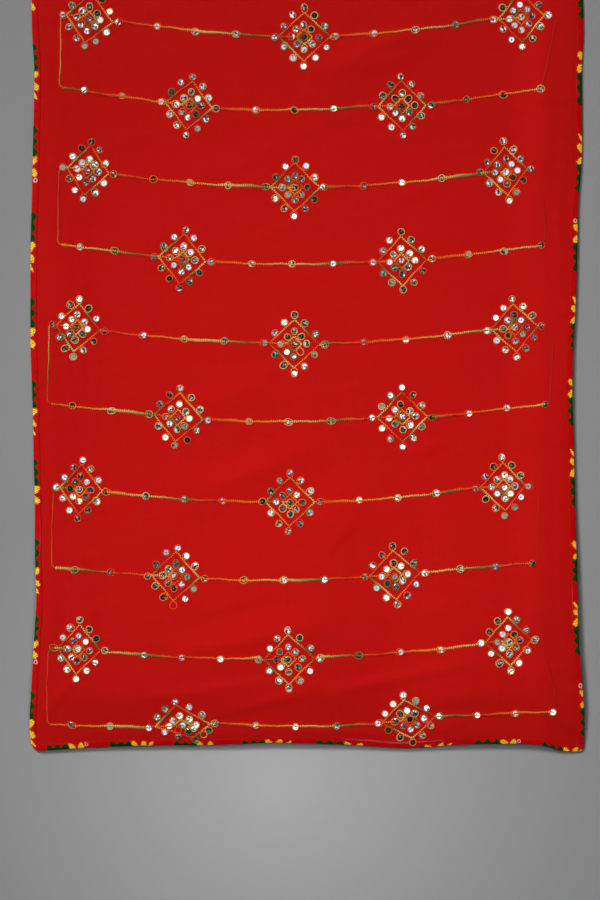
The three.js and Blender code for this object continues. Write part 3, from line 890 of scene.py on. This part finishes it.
def sagged(start, end, count):
    """Points from start to end on a line that hangs a little, as pixels."""
    shares = np.linspace(0, 1, count)[:, None]
    points = np.array(start) * (1 - shares) + np.array(end) * shares
    points[:, 1] += LINE_SAG * 4 * shares[:, 0] * (1 - shares[:, 0])
    return points


# A line's kind: the length of one run through the thread's colours, its weight, how far it
# swells in places, and whether it stays red
LINE = dict(run=270.0, weight=1.28, swelling=0.8, red=False)
DIAMOND_LINE = dict(run=118.0, weight=1.02, swelling=0.5, red=False)
LEFT_LINE = dict(run=330.0, weight=0.6, swelling=0.2, red=False)
RIGHT_LINE = dict(run=330.0, weight=0.5, swelling=0.0, red=True)


class Embroidery:
    """Collects the places of the discs and the routes of the thread, in pixels."""

    def __init__(self):
        self.discs = []
        self.lines = []

    def disc(self, point):
        self.discs.append(np.array(point) + random.normal(0, DISC_WANDER, 2))

    def line(self, points, kind):
        self.lines.append((np.array(points, dtype=float), kind))

    def diamond(self, left, centre, right, above, below, top_shift, bottom_shift):
        axis = unit(right - left)
        up = np.array((axis[1], -axis[0]))

        def at(x, y):
            reach = np.linalg.norm(right - centre) if x > 0 else np.linalg.norm(left - centre)
            shift = y * top_shift if y > 0 else -y * bottom_shift
            return centre + axis * (x * reach + shift) + up * y * (above if y > 0 else below)

        for place in AXIS_DISCS:
            self.disc(at(*place))
        for x, y in CORNER_DISCS:
            for sign_x, sign_y in ((1, 1), (1, -1), (-1, 1), (-1, -1)):
                self.disc(at(sign_x * x, sign_y * y))
        outer, inner = OUTLINE_REACH, INNER_OUTLINE_REACH
        routes = [
            [(-1, 0), (-outer, 0), (-inner, 0), (0, inner), (inner, 0), (0, -inner), (-inner, 0), (0, 0)],
            [(-outer, 0), (0, outer), (outer, 0), (0, -outer), (-outer, 0)],
            [(outer, 0), (1, 0)]]
        for route in routes:
            self.line([at(*place) for place in route], DIAMOND_LINE)

    def row(self, row, squashed):
        """The diamonds of one row and the lines with discs between them."""
        shapes = zip(*squashed.values()) if squashed else [(HALF_HEIGHT, HALF_HEIGHT, 0, 0)] * 3
        diamonds = [np.reshape(places, (3, 2)) for places in zip(*row.values())]
        for places, shape in zip(diamonds, shapes):
            self.diamond(*places, *shape)
        for before, after in zip(diamonds[:-1], diamonds[1:]):
            points = sagged(before[2], after[0], LINE_DISCS_BETWEEN + 2)
            for point in points[1:-1]:
                self.disc(point)
            self.line(points, LINE)
        return diamonds[0][0], diamonds[-1][2]

    def pair(self, pair):
        """An upper and a lower row, closed into one loop by a line at each side."""
        upper_left, upper_right = self.row(pair["upper"], None)
        lower_left, lower_right = self.row(pair["lower"], pair.get("squashed"))
        corner, end = np.array(pair["corner"]), np.array(pair["end"])
        for share in LEFT_DISC_SHARES:
            self.disc(lower_left * (1 - share) + corner * share)
        for share in RIGHT_DISC_SHARES:
            self.disc(lower_right * (1 - share) + end * share)
        self.disc(end)
        run_in = corner + (CORNER_TURN, CORNER_TURN / 8)
        self.line([run_in, lower_left], LINE)
        self.line([lower_right, end], LINE)
        beside = (corner[0] + TURN_AT_SIDE, upper_left[1] + CORNER_TURN)
        self.line([upper_left, upper_left + TURN_AT_TOP, beside, corner - (0, CORNER_TURN),
                   corner + TURN_AT_CORNER, run_in], LEFT_LINE)
        self.line([upper_right, *pair["right_route"], end], RIGHT_LINE)


# Discs and thread as joined meshes

DISC_RADIUS = 4.7
DISC_SIDES = 16
DISC_PROFILE = [(0.85, 0.0), (4.5, 0.0), (DISC_RADIUS, -0.15), (4.5, -0.38), (0.85, -0.38)]
DISC_CLEARANCE = 0.5
MAX_TILT = 11.0
# Each tone and the share of the discs that have it
DISC_TONE_SHARES = {0.0: 0.31, 0.2: 0.13, 0.5: 0.28, 0.75: 0.16, 1.0: 0.12}
KNOT_SIDES = 5
KNOT_SHAPE = table("place size", [(0.0, 0.3), (0.12, 1), (0.88, 1), (1.0, 0.3)])
# The stitch in a disc's hole is a bar out to the rim, or else a knot
KNOT_BAR_SHARE = 0.45
BAR_REACH, BAR_HALF_WIDTH = DISC_RADIUS + 0.4, 0.5
KNOT_REACH, KNOT_HALF_WIDTH = 0.8, 0.85
KNOT_BACK, KNOT_LIFT, KNOT_HALF_HEIGHT = 0.7, 0.18, 0.3
KNOT_PHASES, KNOT_SHADE = (0.62, 0.84), 0.85
RING_POINTS, RING_SIDES = 20, 5
RING_RADIUS = 5.45
RING_HALF_WIDTH, RING_HALF_HEIGHT = 0.9, 0.52
# Some loops are drawn out towards their line, by a share of their radius
RING_DRAWN_SHARE, RING_DRAWN, RING_HARDLY_DRAWN = 0.6, (0.2, 0.6), 0.05
RING_SQUEEZE, RING_UNEVENNESS = (-0.07, 0.09), 0.025
RING_BEAD, RING_BEAD_GAP = 1.15, 0.45
# The painted shade in the gaps between a loop's beads, and how far a loop's colour wanders
RING_GAP_SHADE, RING_PHASE_REACH = 0.35, 0.10
PASSED_OVER_WITHIN, PASSED_OVER_BY = RING_RADIUS * 0.7, 100.0
# How high the thread's middle lies, as a share of its half height
RING_SEAT, LINE_SEAT = 0.85, 0.8
STITCH_PITCH_ON_CLOTH = 3.5
# A stitch's sections, each its width, its height and the painted shade of its gap
STITCH_SECTIONS = [(0.35, 0.4, 0.85), (1.2, 1.0, 0.0), (1.05, 0.8, 0.05)]
STITCH_SIZES = (0.85, 1.15)
LINE_SIDES = 5
LINE_HALF_WIDTH, LINE_HALF_HEIGHT = 1.35, 0.6
LINE_SWAY = [(0.5, 17, 9), (0.35, 6.1, 31)]
LINE_THICKENING, THICKENED_ABOVE = [(1.0, 33, 23)], 0.2
ZIGZAG, ZIGZAG_PITCH = 0.7, 5.0


def plan_of(pixels):
    """Photograph pixels as (x, y) of the row frame, in millimetres."""
    x, along = from_photo(pixels[..., 0], pixels[..., 1])
    return x, along - LENGTH / 2


def side_axes(normals, turn):
    """Two unit axes in the surface, the first turned by an angle from +X."""
    first = np.stack([np.cos(turn), np.sin(turn), np.zeros_like(turn)], axis=-1)
    first = unit(in_surface(first, normals))
    return first, np.cross(normals, first)


class Discs:
    """Where the discs lie, each with its own tilt."""

    def __init__(self, centres):
        self.count = len(centres)
        points, normals = cloth.under(*plan_of(centres))
        tilt = np.radians(np.abs(random.normal(0, MAX_TILT / 2, self.count)).clip(0, MAX_TILT))
        lean, _ = side_axes(normals, random.uniform(0, 2 * np.pi, self.count))
        self.tilted = normals * np.cos(tilt)[:, None] + lean * np.sin(tilt)[:, None]
        self.first, self.second = side_axes(self.tilted, random.uniform(0, 2 * np.pi, self.count))
        lift = CLOTH_WALL / 2 + DISC_CLEARANCE + DISC_RADIUS * np.sin(tilt)
        self.middle = points + normals * lift[:, None]

    def at(self, radius, angle, height):
        return (self.middle + self.first * radius * math.cos(angle) + self.second * radius * math.sin(angle)
                + self.tilted * height)


def make_discs(name, discs, material):
    """Mirrored discs with a hole."""
    angles = np.arange(DISC_SIDES) / DISC_SIDES * 2 * np.pi
    rings = [np.stack([discs.at(radius, angle, height) for angle in angles], axis=1)
             for radius, height in DISC_PROFILE]
    points = np.stack(rings, axis=1)
    tones = random.choice(list(DISC_TONE_SHARES), discs.count, p=list(DISC_TONE_SHARES.values()))
    uv = np.stack([tones, np.zeros(discs.count)], axis=-1)[:, None, None]
    quads = tubes_quads(points, closed_rings=True)[..., ::-1]
    return add_mesh(name, points, quads, material, uv, smooth=False)


def make_knots(name, discs, material):
    """The stitch through each disc's hole: a knot, or a bar out to the rim."""
    is_bar = random.random(discs.count)[:, None] < KNOT_BAR_SHARE
    reach = np.where(is_bar, BAR_REACH, KNOT_REACH)
    width = np.where(is_bar, BAR_HALF_WIDTH, KNOT_HALF_WIDTH)
    run = (KNOT_SHAPE["place"] * (reach + KNOT_BACK) - KNOT_BACK)[..., None]
    normals = discs.tilted[:, None]
    middle = discs.middle[:, None] + discs.first[:, None] * run + normals * KNOT_LIFT
    size = KNOT_SHAPE["size"]
    points = tube_points(middle, discs.second[:, None], normals, size * width, size * KNOT_HALF_HEIGHT,
                         KNOT_SIDES)
    phase = random.uniform(*KNOT_PHASES, discs.count)
    uv = np.stack([phase, np.full(discs.count, KNOT_SHADE)], axis=-1)[:, None, None]
    return add_mesh(name, points, tubes_quads(points), material, uv)


def make_rings(name, centres, lines, material):
    """The loop of thread round each disc. It takes its colour from the nearest line of
    stitches, and some loops are drawn out towards that line."""
    centres = np.stack(plan_of(centres), axis=-1)
    count = len(centres)
    route = np.concatenate([line["plan"] for line in lines])
    route_phase = np.concatenate([line["phase"] for line in lines])
    offsets = route[None] - centres[:, None]
    distance = np.hypot(offsets[..., 0], offsets[..., 1])
    # A line through the disc's middle shows no side, so its nearest points are passed over
    nearest = (distance + PASSED_OVER_BY * (distance < PASSED_OVER_WITHIN)).argmin(axis=1)
    towards = offsets[np.arange(count), nearest]

    is_drawn = random.random(count) < RING_DRAWN_SHARE
    drawn = np.where(is_drawn, random.uniform(*RING_DRAWN, count), RING_HARDLY_DRAWN)[:, None]
    angles = np.arange(RING_POINTS) / RING_POINTS * 2 * np.pi
    point_shape = ((1 + np.cos(angles)) / 2) ** 4
    radius = RING_RADIUS * (1 + drawn * point_shape)
    squeeze = random.uniform(*RING_SQUEEZE, count)[:, None]
    radius *= 1 + squeeze * np.cos(2 * angles) + random.normal(0, RING_UNEVENNESS, radius.shape)
    turned = angles + np.arctan2(towards[:, 1], towards[:, 0])[:, None]
    outward = np.stack([np.cos(turned), np.sin(turned), np.zeros_like(turned)], axis=-1)
    path = centres[:, None] + radius[..., None] * outward[..., :2]
    points, normals = cloth.under(path[..., 0], path[..., 1])
    gap = np.broadcast_to(np.arange(RING_POINTS) % 2, (count, RING_POINTS))
    beads = RING_BEAD - RING_BEAD_GAP * gap
    middle = points + normals * (CLOTH_WALL / 2 + RING_HALF_HEIGHT * RING_SEAT)
    vertices = tube_points(middle, -in_surface(outward, normals), normals, RING_HALF_WIDTH * beads,
                           RING_HALF_HEIGHT * beads, RING_SIDES)
    halfway = 1 - np.abs(np.arange(RING_POINTS) / RING_POINTS * 2 - 1)
    sense = random.choice([-1, 1], count)[:, None]
    phase = route_phase[nearest][:, None] + RING_PHASE_REACH * halfway * sense
    # V is the painted shade in the gaps between the beads
    uv = np.stack([phase, RING_GAP_SHADE * gap], axis=-1)[:, :, None]
    return add_mesh(name, vertices, tubes_quads(vertices, closed_rings=True), material, uv)


def chain_line(pixels, kind):
    """One line of chain stitch along a route: each stitch starts narrow and ends wide."""
    x, y = plan_of(pixels)
    lengths = np.hypot(np.diff(x), np.diff(y))
    knots = np.concatenate([[0], np.cumsum(lengths)])
    stitches = max(2, round(knots[-1] / STITCH_PITCH_ON_CLOTH))
    steps = stitches * len(STITCH_SECTIONS)
    places = np.linspace(0, knots[-1], steps)
    x, y = np.interp(places, knots, x), np.interp(places, knots, y)
    seed = random.uniform(0, 1)
    thickened = np.clip(waves(places, LINE_THICKENING, seed) - THICKENED_ABOVE, 0, 1)
    zigzag = ZIGZAG * np.sin(2 * np.pi * places / ZIGZAG_PITCH) * (1 - thickened)
    sway = waves(places, LINE_SWAY, seed) + zigzag
    run = unit(np.stack([np.gradient(x), np.gradient(y)], axis=-1))
    aside = np.stack([-run[:, 1], run[:, 0], np.zeros(steps)], axis=-1)
    x, y = x + aside[:, 0] * sway, y + aside[:, 1] * sway
    points, normals = cloth.under(x, y)
    width, height, gap = np.array(STITCH_SECTIONS * stitches).T
    swelling = 1 + kind["swelling"] * thickened
    size = kind["weight"] * random.uniform(*STITCH_SIZES, stitches).repeat(len(STITCH_SECTIONS))
    middle = points + normals * (CLOTH_WALL / 2 + LINE_HALF_HEIGHT * LINE_SEAT)
    vertices = tube_points(middle, in_surface(aside, normals), normals,
                           LINE_HALF_WIDTH * width * swelling * size, LINE_HALF_HEIGHT * height * size,
                           LINE_SIDES)
    phase = np.zeros(steps) if kind["red"] else seed + places / kind["run"]
    uv = np.repeat(np.stack([phase, gap], axis=-1), LINE_SIDES, axis=0)
    return dict(vertices=vertices.reshape(-1, 3), quads=ring_quads(steps, LINE_SIDES), uv=uv,
                plan=np.stack([x, y], axis=-1), phase=phase)


def make_lines(name, lines, material):
    bases = np.cumsum([0] + [len(line["vertices"]) for line in lines[:-1]])
    quads = np.concatenate([line["quads"] + base for line, base in zip(lines, bases)])
    vertices, uv = (np.concatenate([line[key] for line in lines]) for key in ("vertices", "uv"))
    return add_mesh(name, vertices, quads, material, uv)


# The first pair of rows in each set of pieces, and the one after its last
PIECE_PAIRS = [(0, 3), (3, 5), (5, 9)]


def make_embroidery():
    """The whole pattern, in pieces of a few pairs of rows each."""
    thread, mirror = thread_material(), sequin_material()
    pairs = all_pairs()
    pieces = []
    for number, (first, last) in enumerate(PIECE_PAIRS):
        work = Embroidery()
        for pair in pairs[first:last]:
            work.pair(pair)
        lines = [chain_line(*line) for line in work.lines]
        centres = np.array(work.discs)
        lost = random.random(len(centres)) < RANDOM_LOST_SHARE
        for place in LOST_DISCS:
            lost |= np.hypot(*(centres - place).T) < LOST_WITHIN
        discs = Discs(centres[~lost])
        pieces.append(make_discs(f"discs_{number}", discs, mirror))
        pieces.append(make_knots(f"disc_knots_{number}", discs, thread))
        pieces.append(make_rings(f"disc_loops_{number}", centres, lines, thread))
        pieces.append(make_lines(f"chain_stitch_{number}", lines, thread))
    return pieces


# Floor, light and camera

FLOOR_SIZE = 90000.0
FLOOR_HEIGHT = -0.4
# The floor's colour, and the lighter colour of the painted pool of light
FLOOR_ALBEDO, PAINTED_POOL_COLOUR = (0.27,) * 3, (0.45,) * 3
# The painted pool of light below the cloth's lower end: its middle, its reach in metres, its falling off
POOL_MIDDLE = plan_of(np.array((275.0, 785.0)))
POOL_REACH, POOL_FALL = 0.62, 1.3
VIEW_MIDDLE = plan_of(np.array(PHOTO_CENTRE))
CAMERA_HEIGHT = 3200.0
SENSOR = 36.0
# The surroundings' brightness: dark, grey and white zones overhead, dim ones lower down and a
# plain pale band at the horizon. A share is a direction's height, 1 straight up.
WORLD_ZONES = [(0.415, (0.010, 0.014, 0.012)), (0.455, (0.045, 0.055, 0.045)), (0.48, (0.20, 0.19, 0.25)),
               (0.522, (0.34, 0.325, 0.41)), (0.535, (1.55, 1.55, 1.58))]
WORLD_ZONE_SCALE, WORLD_ZONE_DETAIL = 9.0, 0.5
OVERHEAD_FROM, OVERHEAD_TO = 0.82, 0.90
HORIZON_TO, DIM_FROM = 0.28, 0.45
HORIZON_LEVEL, DIM_LEVEL = 0.2, 0.02


def make_floor():
    """A plain pale floor, a touch lighter below the cloth's lower end, where a pool of light is painted."""
    nodes = new_material("floor_paper")
    shift = (-POOL_MIDDLE[0] * MM, -POOL_MIDDLE[1] * MM, 0)
    place = nodes.node("ShaderNodeMapping", "Vector", Location=shift,
                       Vector=nodes.node("ShaderNodeTexCoord", "Object"))
    distance = nodes.node("ShaderNodeVectorMath", "Value", {"operation": "LENGTH"}, Vector=place)
    pool = nodes.math("SUBTRACT", 1.0, distance / POOL_REACH, clamp=True) ** POOL_FALL
    half, height = FLOOR_SIZE / 2 * MM, FLOOR_HEIGHT * MM
    corners = [(x * half, y * half, height) for x, y in ((-1, -1), (1, -1), (1, 1), (-1, 1))]
    mesh = bpy.data.meshes.new("floor")
    mesh.from_pydata(corners, [], [(0, 1, 2, 3)])
    shade = nodes.mix(pool, FLOOR_ALBEDO, PAINTED_POOL_COLOUR)
    mesh.materials.append(nodes.finish(shade, roughness=0.9, specular=0.05))
    add_object("floor", mesh)


def over_view(place):
    """A place given from the view's middle, in metres."""
    return (VIEW_MIDDLE[0] + place[0]) * MM, (VIEW_MIDDLE[1] + place[1]) * MM, place[2] * MM


def make_camera():
    camera = bpy.data.cameras.new("camera")
    camera.sensor_width = SENSOR
    camera.lens = SENSOR * CAMERA_HEIGHT / (PHOTO_HEIGHT * MM_PER_PIXEL)
    holder = add_object("camera", camera)
    holder.location = over_view((0, 0, CAMERA_HEIGHT))
    bpy.context.scene.camera = holder


def add_lamp(name, kind, place, energy, **settings):
    """A lamp aimed at the view's middle."""
    light = bpy.data.lights.new(name, kind)
    light.energy = energy
    for key, value in settings.items():
        setattr(light, key, value)
    lamp = add_object(name, light)
    lamp.location = over_view(place)
    away = math.hypot(place[0], place[1])
    lamp.rotation_euler = (math.atan2(away, place[2]), 0, math.atan2(place[1], place[0]) + math.pi / 2)
    return lamp


def make_world():
    """Soft grey surroundings with lighter and darker zones, which the mirrored discs show."""
    world = bpy.data.worlds.new("studio")
    bpy.context.scene.world = world
    nodes = Nodes(world)
    place = nodes.node("ShaderNodeTexCoord", "Generated")
    _, _, height = nodes.split(place)
    zones = nodes.ramp(nodes.noise(WORLD_ZONE_SCALE, WORLD_ZONE_DETAIL, place=place), WORLD_ZONES)
    overhead = nodes.node("ShaderNodeMapRange", "Result", Value=height, From_Min=OVERHEAD_FROM,
                          From_Max=OVERHEAD_TO)
    low = nodes.node("ShaderNodeMapRange", "Result", Value=height, From_Min=HORIZON_TO, From_Max=DIM_FROM,
                     To_Min=HORIZON_LEVEL, To_Max=DIM_LEVEL)
    nodes.put(nodes.tree.nodes["Background"].inputs["Color"], nodes.mix(overhead, low, zones))


def make_studio():
    make_floor()
    make_camera()
    make_world()
    add_lamp("key", "SUN", (-2120, 2720, 2280), 2.8, angle=math.radians(13.0))
    overhead = add_lamp("overhead", "AREA", (-30, 60, 900), 2.7, shape="RECTANGLE", size=0.3, size_y=0.6)
    # The mirrored discs don't show the soft lamp
    overhead.visible_glossy = False
    bpy.context.scene.view_settings.view_transform = "Standard"


make_studio()
panel_piece = make_cloth(cloth_material())
print_material = binding_material()
binding_pieces = [make_binding(side, facts, print_material) for side, facts in BINDINGS.items()]
stitch_piece = make_stitching(stitch_material())
embroidery_pieces = make_embroidery()
